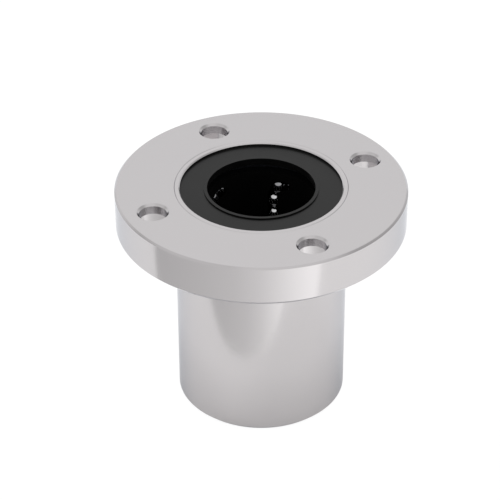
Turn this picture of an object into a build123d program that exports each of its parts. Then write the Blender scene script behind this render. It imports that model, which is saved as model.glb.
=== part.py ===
from build123d import *
from math import acos, asin, cos, degrees, hypot, radians, sin, tan
import os

# Flanged linear ball bearing for a 20 mm shaft, standard European series.
# It stands on the end of its sleeve: +Z runs along the shaft, up to the flange's outer face.
# Lengths are in millimetres and angles in degrees, counted anticlockwise seen from above.

# Sleeve, the hardened steel tube that holds everything
shaft_diameter = 20.0
sleeve_diameter = 32.0
bearing_length = 45.0
sleeve_end_chamfer = 0.85
sleeve_mouth_wall = 1.0
sleeve_end_mouth_chamfer = 0.05
flange_end_mouth_chamfer = 0.22
undercut_width = 1.0
undercut_depth = 0.3

# Flange, a steel ring pressed on the sleeve's upper end, above the undercut
flange_diameter = 54.0
flange_thickness = 8.0
flange_front_chamfer = 0.35
flange_back_chamfer = 0.8
flange_joint_chamfer = 0.08

# Four screw holes through the flange, counterbored from the sleeve's side
bolt_circle_diameter = 43.0
bolt_hole_count = 4
bolt_first_angle = 45.0
bolt_hole_diameter = 5.05
bolt_hole_chamfer = 0.42
bolt_head_diameter = 9.5
bolt_head_depth = 6.0
bolt_head_chamfer = 0.25

# Balls, in closed circuits that run down one row and back up the other
ball_diameter = 3.175
ball_play = 0.01
circuit_count = 5
first_load_row_angle = 25.5
return_row_lift = 1.0
row_ball_gap = 0.025
row_gap_ahead = 1.15
row_gap_behind = 0.45
balls_per_turn = 2
turn_ball_gap = 0.1

# Raceways ground inside the sleeve
land_width = 4.2
land_ramp = 0.5
relief_clearance = 0.12

# Retainer, the moulded cage that guides the balls
retainer_shaft_gap = 0.35
retainer_land_gap = 0.175
retainer_end_play = 0.05
retainer_end_wall = 0.8
retainer_end_chamfer = 0.4
track_clearance = 0.06

# Retaining rings, one under each seal
ring_thickness = 1.0
ring_width = 2.85
ring_groove_depth = 0.2
ring_gap_angle = 36.0

# Wiping seals
seal_recess = 0.6
seal_thickness = 2.0
seal_lip_width = 0.6
seal_lip_height = 0.25
seal_web_width = 2.2
seal_web_thickness = 1.1

# Cutters reach this far past the faces that they cut through
overcut = 1.0

# Places that follow from the sizes above
ball_radius = ball_diameter / 2
shaft_radius = shaft_diameter / 2
mid_height = bearing_length / 2
land_radius = shaft_radius + ball_diameter + ball_play
load_row_radius = (shaft_radius + land_radius) / 2
return_row_radius = load_row_radius + return_row_lift
relief_radius = return_row_radius + ball_radius + relief_clearance
mouth_radius = sleeve_diameter / 2 - sleeve_mouth_wall
mouth_depth = seal_recess + seal_thickness + ring_thickness
groove_radius = mouth_radius + ring_groove_depth
retainer_length = bearing_length - 2 * (mouth_depth + retainer_end_play)
track_radius = ball_radius + track_clearance


def halved(low, high, is_low):
    """The value between low and high where is_low stops being true."""
    for _ in range(40):
        middle = (low + high) / 2
        low, high = (middle, high) if is_low(middle) else (low, middle)
    return low


def turn_angles(radius):
    """Angles of the balls in a half turn of that radius, each one ball pitch from the one before."""
    pitch = ball_diameter + turn_ball_gap

    def too_near(angle):
        across = radius * (1 - cos(radians(angle)))
        along = radius * sin(radians(angle)) + row_gap_ahead
        return hypot(across, along) < pitch

    first = halved(0, 90, too_near)
    step = 2 * degrees(asin(pitch / 2 / radius))
    return [first + step * number for number in range(balls_per_turn)]


def turn_is_tight(radius):
    """Whether the last ball of the turn comes too near the first ball of the return row."""
    last = radians(turn_angles(radius)[-1])
    across = radius * (1 + cos(last))
    along = radius * sin(last) + row_gap_behind
    return hypot(across, along) < ball_diameter + turn_ball_gap


# The half turns are as wide as their balls need, and the rows as long as the retainer lets them be
turn_radius = halved(0.6 * ball_diameter, balls_per_turn * ball_diameter, turn_is_tight)
row_pitch = ball_diameter + row_ball_gap
row_room = retainer_length - 2 * (retainer_end_wall + track_radius + turn_radius)
balls_per_row = 1 + int((row_room - row_gap_ahead - row_gap_behind) / row_pitch)
half_straight = ((balls_per_row - 1) * row_pitch + row_gap_ahead + row_gap_behind) / 2


def turned(points):
    """A solid of revolution about the shaft axis from (radius, height) points."""
    return revolve(Plane.XZ * Polygon(points, align=None), Axis.Z, 360)


def mirrored_end(solid):
    """The same piece at the other end of the bearing."""
    return mirror(solid, Plane.XY.offset(mid_height))


def at_circuit(index):
    """Where circuit number index has its loaded row."""
    return Rot(0, 0, first_load_row_angle + index * 360 / circuit_count)


def circuit_place():
    """The flat loop of one circuit: x runs from the loaded row to the return row, y along the shaft."""
    load_point = Vector(load_row_radius, 0, mid_height)
    spread = load_row_radius ** 2 + return_row_radius ** 2 - (2 * turn_radius) ** 2
    angle = -acos(spread / (2 * load_row_radius * return_row_radius))
    return_point = Vector(return_row_radius * cos(angle), return_row_radius * sin(angle), mid_height)
    across = return_point - load_point
    middle = (load_point + return_point) * 0.5
    outward = across.cross(Vector(0, 0, 1))
    return Plane(origin=middle, x_dir=across, z_dir=outward).location


loop_place = circuit_place()


def make_hole_cutter(bottom, top):
    """What one screw hole takes away: the counterbore, the hole and its chamfered mouth."""
    head = bolt_head_diameter / 2
    wall = bolt_hole_diameter / 2
    return turned([
        (0, bottom - overcut),
        (head + bolt_head_chamfer + overcut, bottom - overcut),
        (head, bottom + bolt_head_chamfer),
        (head, bottom + bolt_head_depth),
        (wall, bottom + bolt_head_depth),
        (wall, top - bolt_hole_chamfer),
        (wall + bolt_hole_chamfer + overcut, top + overcut),
        (0, top + overcut),
    ])


def make_flange():
    outer = flange_diameter / 2
    inner = sleeve_diameter / 2
    top = bearing_length
    bottom = bearing_length - flange_thickness
    ring = turned([
        (inner, bottom),
        (outer - flange_back_chamfer, bottom),
        (outer, bottom + flange_back_chamfer),
        (outer, top - flange_front_chamfer),
        (outer - flange_front_chamfer, top),
        (inner + flange_joint_chamfer, top),
        (inner, top - flange_joint_chamfer),
    ])
    hole = make_hole_cutter(bottom, top)
    for index in range(bolt_hole_count):
        turn = Rot(0, 0, bolt_first_angle + index * 360 / bolt_hole_count)
        ring -= turn * Pos(bolt_circle_diameter / 2, 0, 0) * hole
    return ring


def make_sleeve():
    """The tube, bored to the raceways, relieved between them and undercut below the flange."""
    outer = sleeve_diameter / 2
    top = bearing_length
    seat = top - flange_thickness
    groove_top = seal_recess + seal_thickness
    low = mid_height - half_straight
    high = mid_height + half_straight
    tube = turned([
        (mouth_radius + sleeve_end_mouth_chamfer, 0),
        (outer - sleeve_end_chamfer, 0),
        (outer, sleeve_end_chamfer),
        (outer, seat - undercut_width),
        (outer - undercut_depth, seat - undercut_width),
        (outer - undercut_depth, seat),
        (outer, seat),
        (outer, top - flange_joint_chamfer),
        (outer - flange_joint_chamfer, top),
        (mouth_radius + flange_end_mouth_chamfer, top),
        (mouth_radius, top - flange_end_mouth_chamfer),
        (mouth_radius, top - groove_top),
        (groove_radius, top - groove_top),
        (groove_radius, top - mouth_depth),
        (relief_radius, top - mouth_depth),
        (relief_radius, high),
        (land_radius, high - land_ramp),
        (land_radius, low + land_ramp),
        (relief_radius, low),
        (relief_radius, mouth_depth),
        (groove_radius, mouth_depth),
        (groove_radius, groove_top),
        (mouth_radius, groove_top),
        (mouth_radius, sleeve_end_mouth_chamfer),
    ])
    strip = Pos(land_radius, 0, mid_height) * Box(2 * ball_diameter, land_width, bearing_length)
    relief = Pos(0, 0, mid_height) * Cylinder(relief_radius, 2 * half_straight)
    relief -= [at_circuit(index) * strip for index in range(circuit_count)]
    return tube - relief


def make_track():
    """The closed tunnel that one circuit of balls runs in: two straights joined by two half turns."""
    loop = Wire([
        Line((-turn_radius, 0), (-turn_radius, half_straight)).edge(),
        RadiusArc((-turn_radius, half_straight), (turn_radius, half_straight), turn_radius).edge(),
        Line((turn_radius, half_straight), (turn_radius, -half_straight)).edge(),
        RadiusArc((turn_radius, -half_straight), (-turn_radius, -half_straight), turn_radius).edge(),
        Line((-turn_radius, -half_straight), (-turn_radius, 0)).edge(),
    ])
    section = Plane.XZ * Pos(-turn_radius, 0) * Circle(track_radius)
    return loop_place * sweep(section, loop)


def make_retainer():
    inner = shaft_radius + retainer_shaft_gap
    outer = land_radius - retainer_land_gap
    low = mid_height - retainer_length / 2
    high = mid_height + retainer_length / 2
    cage = turned([
        (inner, low),
        (outer - retainer_end_chamfer, low),
        (outer, low + retainer_end_chamfer),
        (outer, high - retainer_end_chamfer),
        (outer - retainer_end_chamfer, high),
        (inner, high),
    ])
    track = make_track()
    return cage - [at_circuit(index) * track for index in range(circuit_count)]


def make_ring():
    """The open spring ring in the groove under the upper seal."""
    low = bearing_length - mouth_depth
    outer = groove_radius
    inner = groove_radius - ring_width
    ring = turned([
        (inner, low),
        (outer, low),
        (outer, low + ring_thickness),
        (inner, low + ring_thickness),
    ])
    reach = 2 * outer
    half_width = reach * tan(radians(ring_gap_angle / 2))
    wedge = Polygon((0, 0), (reach, -half_width), (reach, half_width), align=None)
    return ring - Pos(0, 0, low - overcut) * extrude(wedge, ring_thickness + 2 * overcut)


def make_seal():
    """The upper seal: a thick rim, a thin web and a raised lip that wipes the shaft."""
    face = bearing_length - seal_recess
    bottom = face - seal_thickness
    lip_radius = shaft_radius + seal_lip_width
    web_radius = lip_radius + seal_web_width
    return turned([
        (shaft_radius, face - seal_web_thickness),
        (web_radius, face - seal_web_thickness),
        (web_radius, bottom),
        (mouth_radius, bottom),
        (mouth_radius, face),
        (lip_radius, face),
        (lip_radius, face + seal_lip_height),
        (shaft_radius, face + seal_lip_height),
    ])


def balls_at(places, index):
    """Balls of one circuit at (across, along) places of its flat loop."""
    turn = at_circuit(index)
    return Compound(children=[turn * loop_place * Pos(x, y, 0) * Sphere(ball_radius) for x, y in places])


def load_row_places():
    top = half_straight - row_gap_ahead
    return [(-turn_radius, top - number * row_pitch) for number in range(balls_per_row)]


def upper_turn_places():
    places = []
    for angle in turn_angles(turn_radius):
        across = -turn_radius * cos(radians(angle))
        along = half_straight + turn_radius * sin(radians(angle))
        places.append((across, along))
    return places


def half_turned(places):
    """The loop looks the same after half a turn about its middle."""
    return [(-x, -y) for x, y in places]


def make_parts():
    seal = make_seal()
    ring = make_ring()
    parts = {
        "flange": make_flange(),
        "bearing_sleeve": make_sleeve(),
        "ball_retainer": make_retainer(),
        "flange_end_seal": seal,
        "sleeve_end_seal": mirrored_end(seal),
        "flange_end_ring": ring,
        "sleeve_end_ring": mirrored_end(ring),
    }
    for index in range(circuit_count):
        number = index + 1
        parts[f"load_row_{number}"] = balls_at(load_row_places(), index)
        parts[f"return_row_{number}"] = balls_at(half_turned(load_row_places()), index)
        parts[f"upper_turn_balls_{number}"] = balls_at(upper_turn_places(), index)
        parts[f"lower_turn_balls_{number}"] = balls_at(half_turned(upper_turn_places()), index)
    return parts


def report_circuit():
    """Print where a circuit's upper turn lies: its centre and the axis it is bent round."""
    angles = [round(angle, 3) for angle in turn_angles(turn_radius)]
    print("turn radius", round(turn_radius, 4), "turn angles", angles, "balls in a row", balls_per_row)
    for index in range(circuit_count):
        turn = at_circuit(index) * loop_place
        centre = (turn * Pos(0, half_straight, 0)).position
        axis = Plane(turn).z_dir
        centre_words = [round(value, 5) for value in centre]
        axis_words = [round(value, 6) for value in axis]
        print("circuit", index + 1, "centre", centre_words, "axis", axis_words)


os.makedirs("parts", exist_ok=True)
for name, part in make_parts().items():
    export_step(part, f"parts/{name}.step")
report_circuit()
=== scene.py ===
from math import cos, radians, sin

import bpy
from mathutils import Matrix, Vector

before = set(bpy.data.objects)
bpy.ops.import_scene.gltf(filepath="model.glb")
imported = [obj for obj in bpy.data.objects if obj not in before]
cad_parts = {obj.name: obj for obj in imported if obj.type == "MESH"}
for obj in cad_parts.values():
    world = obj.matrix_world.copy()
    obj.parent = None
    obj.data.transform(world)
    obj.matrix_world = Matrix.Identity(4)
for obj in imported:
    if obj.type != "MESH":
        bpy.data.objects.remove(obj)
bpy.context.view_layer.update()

# Flanged linear ball bearing, standing on the end of its sleeve on a pale studio floor.
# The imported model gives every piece. This script gives the finishes, the camera, the floor and the light.

mm = 0.001
print("frame loaded:", len(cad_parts), "pieces")


# Node tree helpers

def addNode(tree, kind, **settings):
    node = tree.nodes.new(kind)
    for name, value in settings.items():
        setattr(node, name, value)
    return node


def feed(tree, socket, value):  # value is a number, a colour or another node's output
    if isinstance(value, bpy.types.NodeSocket):
        tree.links.new(value, socket)
    else:
        socket.default_value = value


def mathOf(tree, operation, first, second=0.0):
    node = addNode(tree, "ShaderNodeMath", operation=operation)
    feed(tree, node.inputs[0], first)
    feed(tree, node.inputs[1], second)
    return node.outputs[0]


def remap(tree, value, fromLow, fromHigh, toLow, toHigh, smooth=False):
    kind = "SMOOTHSTEP" if smooth else "LINEAR"
    node = addNode(tree, "ShaderNodeMapRange", interpolation_type=kind)
    names = ("Value", "From Min", "From Max", "To Min", "To Max")
    for name, number in zip(names, (value, fromLow, fromHigh, toLow, toHigh)):
        feed(tree, node.inputs[name], number)
    return node.outputs["Result"]


def mixColour(tree, factor, first, second):
    node = addNode(tree, "ShaderNodeMix", data_type="RGBA")
    for index, value in ((0, factor), (6, first), (7, second)):  # the sockets used for colours
        feed(tree, node.inputs[index], value)
    return node.outputs[2]


def newGroup(name, inputs, outputs):
    group = bpy.data.node_groups.new(name, "ShaderNodeTree")
    for label, value in inputs:
        socket = group.interface.new_socket(label, in_out="INPUT", socket_type="NodeSocketFloat")
        socket.default_value = value
    for label, kind in outputs:
        group.interface.new_socket(label, in_out="OUTPUT", socket_type="NodeSocket" + kind)
    return group, addNode(group, "NodeGroupInput").outputs, addNode(group, "NodeGroupOutput").inputs


def placeGroup(tree, group, values):
    node = addNode(tree, "ShaderNodeGroup", node_tree=group)
    for name, value in values.items():
        feed(tree, node.inputs[name], value)
    return node.outputs


def objectPlace(tree):
    return addNode(tree, "ShaderNodeTexCoord").outputs["Object"]


def splitPlace(tree, place):
    parts = addNode(tree, "ShaderNodeSeparateXYZ")
    tree.links.new(place, parts.inputs[0])
    return parts.outputs


def isCameraRay(tree):
    return addNode(tree, "ShaderNodeLightPath").outputs["Is Camera Ray"]


def grey(level):
    return (level, level, level, 1.0)


def shaded(colour, factor):
    return tuple(channel * factor for channel in colour[:3]) + (1.0,)


# Effects that several finishes share

markLook = {"driftScale": 60, "ringDetail": 3, "ringHeight": 0.001 * mm}
grainDetail = {"Cloud Size": 2, "Grain Size": 4}


def buildToolMarks():  # fine rings left by turning or grinding, across a face or round a wall
    group, entry, leave = newGroup(
        "tool marks",
        [("Pitch", 0.1 * mm), ("Waver", 0.3), ("Depth", 0.1)],
        [("Mask", "Float"), ("Normal", "Vector")])
    place = objectPlace(group)
    parts = splitPlace(group, place)
    across = mathOf(group, "POWER", parts["X"], 2)
    across = mathOf(group, "ADD", across, mathOf(group, "POWER", parts["Y"], 2))
    along = mathOf(group, "ADD", mathOf(group, "SQRT", across), parts["Z"])
    drift = addNode(group, "ShaderNodeTexNoise", noise_dimensions="3D")
    feed(group, drift.inputs["Vector"], place)
    feed(group, drift.inputs["Scale"], markLook["driftScale"])
    steps = mathOf(group, "DIVIDE", along, entry["Pitch"])
    steps = mathOf(group, "ADD", steps, mathOf(group, "MULTIPLY", drift.outputs["Fac"], entry["Waver"]))
    rings = addNode(group, "ShaderNodeTexNoise", noise_dimensions="1D")
    feed(group, rings.inputs["W"], steps)
    feed(group, rings.inputs["Scale"], 1)
    feed(group, rings.inputs["Detail"], markLook["ringDetail"])
    bump = addNode(group, "ShaderNodeBump")
    feed(group, bump.inputs["Distance"], markLook["ringHeight"])
    feed(group, bump.inputs["Strength"], entry["Depth"])
    feed(group, bump.inputs["Height"], rings.outputs["Fac"])
    feed(group, leave["Mask"], rings.outputs["Fac"])
    feed(group, leave["Normal"], bump.outputs["Normal"])
    return group


def buildGrain():  # soft unevenness of a surface, from cloudy to fine
    group, entry, leave = newGroup(
        "grain",
        [("Cloud Size", 8 * mm), ("Grain Size", 0.3 * mm), ("Fine Share", 0.4)],
        [("Mask", "Float")])
    place = objectPlace(group)
    layers = []
    for name, detail in grainDetail.items():
        noise = addNode(group, "ShaderNodeTexNoise", noise_dimensions="3D")
        feed(group, noise.inputs["Vector"], place)
        feed(group, noise.inputs["Scale"], mathOf(group, "DIVIDE", 1.0, entry[name]))
        feed(group, noise.inputs["Detail"], detail)
        layers.append(noise.outputs["Fac"])
    blend = addNode(group, "ShaderNodeMix", data_type="FLOAT")
    for index, value in ((0, entry["Fine Share"]), (2, layers[0]), (3, layers[1])):  # the sockets used for numbers
        feed(group, blend.inputs[index], value)
    feed(group, leave["Mask"], blend.outputs[0])
    return group


def buildWallZone():  # picks out round walls: how far from which axis, and between which heights
    group, entry, leave = newGroup(
        "wall zone",
        [("Across", 0.0), ("Reach", 1.0), ("Middle", 0.0), ("Low", 0.0), ("Top", 1.0)],
        [("Mask", "Float")])
    parts = splitPlace(group, objectPlace(group))
    away = 0.0
    for name in ("X", "Y"):  # Across is the axis's own distance along X and along Y, on both sides
        side = mathOf(group, "SUBTRACT", mathOf(group, "ABSOLUTE", parts[name]), entry["Across"])
        away = mathOf(group, "ADD", mathOf(group, "POWER", side, 2), away)
    height = mathOf(group, "ABSOLUTE", mathOf(group, "SUBTRACT", parts["Z"], entry["Middle"]))
    mask = mathOf(group, "LESS_THAN", mathOf(group, "SQRT", away), entry["Reach"])
    mask = mathOf(group, "MULTIPLY", mask, mathOf(group, "LESS_THAN", height, entry["Top"]))
    mask = mathOf(group, "MULTIPLY", mask, mathOf(group, "GREATER_THAN", height, entry["Low"]))
    feed(group, leave["Mask"], mask)
    return group


toolMarks = buildToolMarks()
grain = buildGrain()
wallZone = buildWallZone()
print("shared effects built")


# Finishes

noiseSpan = (0.3, 0.7)  # where most of a noise mask's values lie


def newMaterial(name):
    material = bpy.data.materials.new(name)
    material.use_nodes = True
    return material, material.node_tree


def grainMask(tree, finish):
    sizes = {"Cloud Size": finish["cloud"], "Grain Size": finish["grainSize"]}
    return placeGroup(tree, grain, sizes)["Mask"]


def variedColour(tree, mask, finish):
    dark, light = (shaded(finish["colour"], 1 + side * finish["spread"]) for side in (-1, 1))
    return mixColour(tree, mask, dark, light)


def variedGloss(tree, mask, finish):
    return remap(tree, mask, *noiseSpan, finish["roughLow"], finish["roughHigh"])


def steelFinish(name, steel):
    material, tree = newMaterial(name)
    shader = tree.nodes["Principled BSDF"].inputs
    marks = placeGroup(tree, toolMarks, {name.title(): steel[name] for name in ("pitch", "waver", "depth")})
    tone = mathOf(tree, "ADD", mathOf(tree, "MULTIPLY", marks["Mask"], 0.5),
                  mathOf(tree, "MULTIPLY", grainMask(tree, steel), 0.5))
    colour = variedColour(tree, tone, steel)
    rough = variedGloss(tree, tone, steel)
    # each zone paints light or shade into the colour, and some also make the surface rougher
    for zone in steel.get("paintedZones", ()):
        mask = placeGroup(tree, wallZone, zone["place"])["Mask"]
        colour = mixColour(tree, mask, colour, zone["colour"])
        if "rougher" in zone:
            rough = mathOf(tree, "ADD", rough, mathOf(tree, "MULTIPLY", mask, zone["rougher"]))
    feed(tree, shader["Base Color"], colour)
    feed(tree, shader["Roughness"], rough)
    feed(tree, shader["Normal"], marks["Normal"])
    feed(tree, shader["Specular Tint"], steel["edgeTint"])
    feed(tree, shader["Metallic"], 1.0)
    return material


def polymerFinish(name, polymer):
    material, tree = newMaterial(name)
    shader = tree.nodes["Principled BSDF"].inputs
    mask = grainMask(tree, polymer)
    bump = addNode(tree, "ShaderNodeBump")
    feed(tree, bump.inputs["Strength"], polymer["depth"])
    feed(tree, bump.inputs["Distance"], polymer["grainHeight"])
    feed(tree, bump.inputs["Height"], mask)
    feed(tree, shader["Base Color"], variedColour(tree, mask, polymer))
    feed(tree, shader["Roughness"], variedGloss(tree, mask, polymer))
    feed(tree, shader["Normal"], bump.outputs["Normal"])
    feed(tree, shader["Specular IOR Level"], polymer["shine"])
    return material


def dress(finish, *nodes):
    for node in nodes:
        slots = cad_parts[node].data.materials
        for index in range(len(slots)):
            slots[index] = finish


shadedHoleWall = {  # the screw holes, between their countersink and their counterbore: their darker colour is painted shade, and they are also rougher
    "place": {"Across": 15.2 * mm, "Reach": 2.6 * mm, "Low": 42.9 * mm, "Top": 44.55 * mm},
    "colour": (0.45, 0.44, 0.45, 1), "rougher": 0.11}
paintedChamferLight = {  # painted light: the chamfer at the flange's back, made brighter than the steel around it
    "place": {"Reach": 30 * mm, "Low": 37.02 * mm, "Top": 37.78 * mm},
    "colour": (0.76, 0.735, 0.725, 1)}
flangeSteel = {
    "colour": (0.563, 0.5435, 0.548), "spread": 0.02, "roughLow": 0.12, "roughHigh": 0.17,
    "pitch": 0.12 * mm, "waver": 0.6, "depth": 0.05, "cloud": 9 * mm, "grainSize": 0.25 * mm,
    "edgeTint": (0.74, 0.76, 0.79, 1), "paintedZones": (shadedHoleWall, paintedChamferLight)}

paintedSeatShade = {  # painted shade: the wall round each seal, at both ends of the sleeve, darkened
    "place": {"Reach": 15.12 * mm, "Middle": 22.5 * mm, "Low": 21.8 * mm, "Top": 22.295 * mm},
    "colour": (0.12, 0.12, 0.12, 1)}
sleeveSteel = {
    "colour": (0.563, 0.5435, 0.548), "spread": 0.02, "roughLow": 0.13, "roughHigh": 0.19,
    "pitch": 0.06 * mm, "waver": 0.4, "depth": 0.05, "cloud": 7 * mm, "grainSize": 0.2 * mm,
    "edgeTint": (0.74, 0.76, 0.79, 1), "paintedZones": (paintedSeatShade,)}

springSteel = {
    "colour": (0.10, 0.11, 0.13), "spread": 0.15, "roughLow": 0.25, "roughHigh": 0.4,
    "pitch": 0.2 * mm, "waver": 2.0, "depth": 0.1, "cloud": 2 * mm, "grainSize": 0.2 * mm,
    "edgeTint": (0.3, 0.3, 0.32, 1)}

rowBallSteel = {
    "colour": (0.58, 0.58, 0.59), "spread": 0.01, "roughLow": 0.05, "roughHigh": 0.08,
    "pitch": 0.5 * mm, "waver": 4.0, "depth": 0.01, "cloud": 2 * mm, "grainSize": 0.3 * mm,
    "edgeTint": (0.8, 0.8, 0.82, 1)}
shadedTurnBallSteel = {**rowBallSteel,  # darker colour and edge tint are painted shade on the balls deeper in the turns
                 "colour": (0.30, 0.30, 0.31), "roughLow": 0.07, "roughHigh": 0.10,
                 "edgeTint": (0.5, 0.5, 0.52, 1)}

sealRubber = {
    "colour": (0.003, 0.003, 0.003), "spread": 0.3, "roughLow": 0.28, "roughHigh": 0.36,
    "cloud": 3 * mm, "grainSize": 0.15 * mm, "grainHeight": 0.005 * mm, "depth": 0.1, "shine": 0.215}
retainerResin = {
    "colour": (0.003, 0.003, 0.003), "spread": 0.2, "roughLow": 0.35, "roughHigh": 0.5,
    "cloud": 4 * mm, "grainSize": 0.3 * mm, "grainHeight": 0.005 * mm, "depth": 0.1, "shine": 0.04}

rowNodes = [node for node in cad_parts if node.startswith(("load_row", "return_row"))]
turnNodes = [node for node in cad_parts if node.startswith(("upper_turn", "lower_turn"))]
dress(steelFinish("flange steel", flangeSteel), "flange")
dress(steelFinish("sleeve steel", sleeveSteel), "bearing_sleeve")
dress(steelFinish("spring steel", springSteel), "flange_end_ring", "sleeve_end_ring")
dress(steelFinish("ball steel", rowBallSteel), *rowNodes)
dress(steelFinish("turn ball steel with painted shade", shadedTurnBallSteel), *turnNodes)
dress(polymerFinish("seal rubber", sealRubber), "flange_end_seal", "sleeve_end_seal")
dress(polymerFinish("retainer resin", retainerResin), "ball_retainer")
print("finishes placed")


# Camera, at the photograph's viewing angle

camera = {"aim": (0, 0, 30 * mm), "distance": 372.0 * mm, "azimuth": 20.2, "down": 34.2, "nearest": 10 * mm,
          "focalPixels": 1978, "imagePixels": 500, "centrePixel": (261.26, 252.72), "sensorWidth": 36}


def towards(azimuth, height):  # a direction from the bearing: azimuth 0 is the front, both in degrees
    around, up = radians(azimuth), radians(height)
    return Vector((sin(around) * cos(up), -cos(around) * cos(up), sin(up)))


def lookAlong(item, direction):
    item.rotation_mode = "QUATERNION"
    item.rotation_quaternion = direction.to_track_quat("-Z", "Y")


def buildCamera():
    lens = bpy.data.cameras.new("camera")
    lens.sensor_width = camera["sensorWidth"]
    lens.lens = camera["focalPixels"] / camera["imagePixels"] * lens.sensor_width
    lens.shift_x = 0.5 - camera["centrePixel"][0] / camera["imagePixels"]
    lens.shift_y = camera["centrePixel"][1] / camera["imagePixels"] - 0.5
    lens.clip_start = camera["nearest"]
    eye = bpy.data.objects.new("camera", lens)
    bpy.context.scene.collection.objects.link(eye)
    back = towards(camera["azimuth"], camera["down"])
    eye.location = Vector(camera["aim"]) + back * camera["distance"]
    lookAlong(eye, -back)
    bpy.context.scene.camera = eye


buildCamera()
print("camera placed")


# Floor and reflecting card

floor = {"size": 4.0, "seenGlow": 0.95, "seenAlbedo": 0.10, "albedo": 0.93,
         "shadedGlowNear": 0.105, "glowFar": 0.284, "near": 16 * mm, "far": 34 * mm}
card = {"edge": -38.3 * mm, "skew": 0.012, "bow": 1.2, "bowReach": 80 * mm, "bowSteps": 8,
        "depth": 600 * mm, "halfWidth": 600 * mm, "lift": 0.2 * mm,
        "tones": ((0.16, 0.69), (0.38, 0.77), (0.52, 0.86), (0.61, 1.0), (0.70, 1.24), (0.80, 1.5))}


def flatSheet(name, corners):
    mesh = bpy.data.meshes.new(name)
    mesh.from_pydata(corners, [], [tuple(range(len(corners)))])
    sheet = bpy.data.objects.new(name, mesh)
    bpy.context.scene.collection.objects.link(sheet)
    return sheet


def glowingMaterial(name):
    material, tree = newMaterial(name)
    tree.nodes.remove(tree.nodes["Principled BSDF"])
    return material, tree, tree.nodes["Material Output"].inputs["Surface"]


def buildFloor():  # plain and white to the camera, and with painted shade near the sleeve in reflections
    half = floor["size"] / 2
    sheet = flatSheet("floor", [(-half, -half, 0), (half, -half, 0), (half, half, 0), (-half, half, 0)])
    material, tree, surface = glowingMaterial("pale floor")
    seen = isCameraRay(tree)
    matt = addNode(tree, "ShaderNodeBsdfDiffuse")
    feed(tree, matt.inputs["Color"], mixColour(tree, seen, grey(floor["albedo"]), grey(floor["seenAlbedo"])))
    away = addNode(tree, "ShaderNodeVectorMath", operation="LENGTH")
    feed(tree, away.inputs[0], objectPlace(tree))
    # the glow seen in reflections is weaker near the sleeve: painted shade round its foot
    reflectedGlowWithShade = remap(tree, away.outputs["Value"], floor["near"], floor["far"], floor["shadedGlowNear"], floor["glowFar"])
    glow = addNode(tree, "ShaderNodeEmission")
    feed(tree, glow.inputs["Strength"], remap(tree, seen, 0, 1, reflectedGlowWithShade, floor["seenGlow"]))
    both = addNode(tree, "ShaderNodeAddShader")
    feed(tree, both.inputs[0], matt.outputs[0])
    feed(tree, both.inputs[1], glow.outputs[0])
    feed(tree, surface, both.outputs[0])
    sheet.data.materials.append(material)


def bowedEdge():  # the card's edge towards the bearing, bowed near the middle and straight beyond
    reach, wide, steps = card["bowReach"], card["halfWidth"], card["bowSteps"]
    sideways = [-wide] + [reach * step / steps for step in range(-steps, steps + 1)] + [wide]
    points = []
    for x in sideways:
        near = min(abs(x), reach)
        y = card["edge"] + card["skew"] * x - card["bow"] * near * (2 * abs(x) - near)
        points.append((x, y, card["lift"]))
    return points


def buildCard():  # lies on the floor before the bearing, dark at one end and bright at the other
    wide, back = card["halfWidth"], card["edge"] - card["depth"]
    sheet = flatSheet("reflecting card", [(wide, back, card["lift"]), (-wide, back, card["lift"])] + bowedEdge())
    material, tree, surface = glowingMaterial("card")
    parts = splitPlace(tree, objectPlace(tree))
    turn = mathOf(tree, "ARCTAN2", parts["Y"], parts["X"])
    ramp = addNode(tree, "ShaderNodeValToRGB")
    feed(tree, ramp.inputs["Fac"], remap(tree, turn, radians(-180), 0, 0, 1))
    stops = ramp.color_ramp.elements
    brightest = max(tone for _, tone in card["tones"])
    while len(stops) < len(card["tones"]):
        stops.new(0.5)
    for stop, (position, tone) in zip(stops, card["tones"]):
        stop.position = position
        stop.color = grey(tone / brightest)
    glow = addNode(tree, "ShaderNodeEmission")
    feed(tree, glow.inputs["Strength"], brightest)
    feed(tree, glow.inputs["Color"], ramp.outputs["Color"])
    feed(tree, surface, glow.outputs[0])
    sheet.data.materials.append(material)
    sheet.visible_camera = False
    sheet.visible_shadow = False


buildFloor()
buildCard()
print("floor and card placed")


# Light

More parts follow.
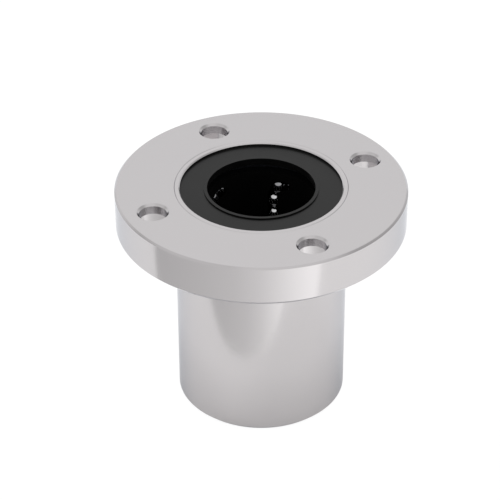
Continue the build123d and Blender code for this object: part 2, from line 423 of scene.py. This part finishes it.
sky = {"strength": 1.02, "sideTone": 0.58,
       "far": {"azimuth": 206.0, "height": 34.0, "from": 0.42, "to": 0.78, "tone": 1.0},
       "front": {"azimuth": -10.0, "height": 45.0, "from": 0.34, "to": 0.82, "tone": 0.81},
       "bright": {"azimuth": 42.0, "height": 52.0, "from": 0.70, "to": 0.975, "tone": 0.92},
       "overhead": {"azimuth": 20.2, "height": 90.0, "from": 0.90, "to": 0.97, "tone": 0.5}}
lamps = [
    {"name": "key softbox", "place": (-500, 250, 700), "size": 300, "power": 0.9},
    {"name": "fill softbox", "place": (600, 300, 500), "size": 400, "power": 0.75},
]


def patchOf(tree, place, patch, outside):  # a soft round patch of the sky
    near = addNode(tree, "ShaderNodeVectorMath", operation="DOT_PRODUCT")
    feed(tree, near.inputs[0], place)
    feed(tree, near.inputs[1], towards(patch["azimuth"], patch["height"]))
    return remap(tree, near.outputs["Value"], patch["from"], patch["to"], outside, patch["tone"], smooth=True)


def buildSky():  # white to the camera, and in patches to everything else
    world = bpy.data.worlds.new("studio")
    world.use_nodes = True
    bpy.context.scene.world = world
    tree = world.node_tree
    glow = tree.nodes["Background"]
    place = addNode(tree, "ShaderNodeTexCoord").outputs["Generated"]
    side = sky["sideTone"]
    shade = patchOf(tree, place, sky["far"], side)
    for name in ("front", "bright"):
        shade = mathOf(tree, "MAXIMUM", shade, patchOf(tree, place, sky[name], side))
    shade = mathOf(tree, "MULTIPLY", shade, patchOf(tree, place, sky["overhead"], 1.0))
    feed(tree, glow.inputs["Color"], mathOf(tree, "MAXIMUM", shade, isCameraRay(tree)))
    feed(tree, glow.inputs["Strength"], sky["strength"])


def buildLamps():
    for lamp in lamps:
        light = bpy.data.lights.new(lamp["name"], "AREA")
        light.size = lamp["size"] * mm
        light.energy = lamp["power"]
        holder = bpy.data.objects.new(lamp["name"], light)
        bpy.context.scene.collection.objects.link(holder)
        holder.location = Vector(lamp["place"]) * mm
        holder.visible_glossy = False
        lookAlong(holder, -holder.location)


buildSky()
buildLamps()
bpy.context.scene.view_settings.view_transform = "Standard"
print("light placed")
